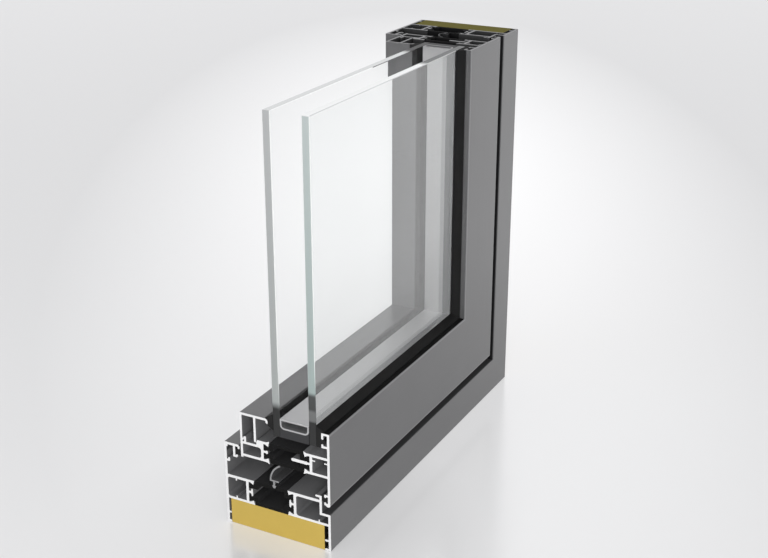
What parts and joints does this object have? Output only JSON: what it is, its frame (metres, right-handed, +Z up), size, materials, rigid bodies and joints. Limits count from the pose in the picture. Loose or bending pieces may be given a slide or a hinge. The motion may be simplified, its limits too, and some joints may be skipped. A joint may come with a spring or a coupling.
{
  "type": "window frame profile section",
  "caption": "Corner sample of a thermally broken aluminium window, cut to show the mitred frame and sash profiles, insulating strips, gaskets, double glazing and infill block.",
  "frame": {"origin": "centre of the footprint, on the underside of the sill", "axes": "+X along the sill from its saw cut to the outer corner, +Y from the exterior face to the interior, +Z up the jamb"},
  "size_m": [0.27, 0.075, 0.27],
  "materials": {
    "coated_aluminium": "grey satin coating, bare saw cuts",
    "polyamide": "matte",
    "black_rubber": "matte",
    "grey_rubber": "matte",
    "infill": "satin gold",
    "bare_aluminium": "satin",
    "sealant": "matte",
    "glass": "clear"
  },
  "bodies": {
    "root": {"sill_frame_exterior": "coated_aluminium", "sill_frame_interior": "coated_aluminium", "sill_frame_strip_upper": "polyamide", "sill_frame_strip_lower": "polyamide", "sill_infill_block": "infill", "sill_central_gasket": "grey_rubber", "sill_rebate_gasket_interior": "black_rubber", "sill_sash_exterior": "coated_aluminium", "sill_sash_interior": "coated_aluminium", "sill_sash_strip_upper": "polyamide", "sill_sash_strip_lower": "polyamide", "sill_rebate_gasket_exterior": "black_rubber", "sill_glazing_gasket_exterior": "black_rubber", "sill_glazing_gasket_interior": "black_rubber", "sill_glazing_bead": "coated_aluminium", "sill_spacer_bar": "bare_aluminium", "sill_edge_sealant": "sealant", "jamb_frame_exterior": "coated_aluminium", "jamb_frame_interior": "coated_aluminium", "jamb_frame_strip_upper": "polyamide", "jamb_frame_strip_lower": "polyamide", "jamb_infill_block": "infill", "jamb_central_gasket": "grey_rubber", "jamb_rebate_gasket_interior": "black_rubber", "jamb_sash_exterior": "coated_aluminium", "jamb_sash_interior": "coated_aluminium", "jamb_sash_strip_upper": "polyamide", "jamb_sash_strip_lower": "polyamide", "jamb_rebate_gasket_exterior": "black_rubber", "jamb_glazing_gasket_exterior": "black_rubber", "jamb_glazing_gasket_interior": "black_rubber", "jamb_glazing_bead": "coated_aluminium", "jamb_spacer_bar": "bare_aluminium", "jamb_edge_sealant": "sealant", "glass_pane_exterior": "glass", "glass_pane_interior": "glass"}
  },
  "joints": []
}
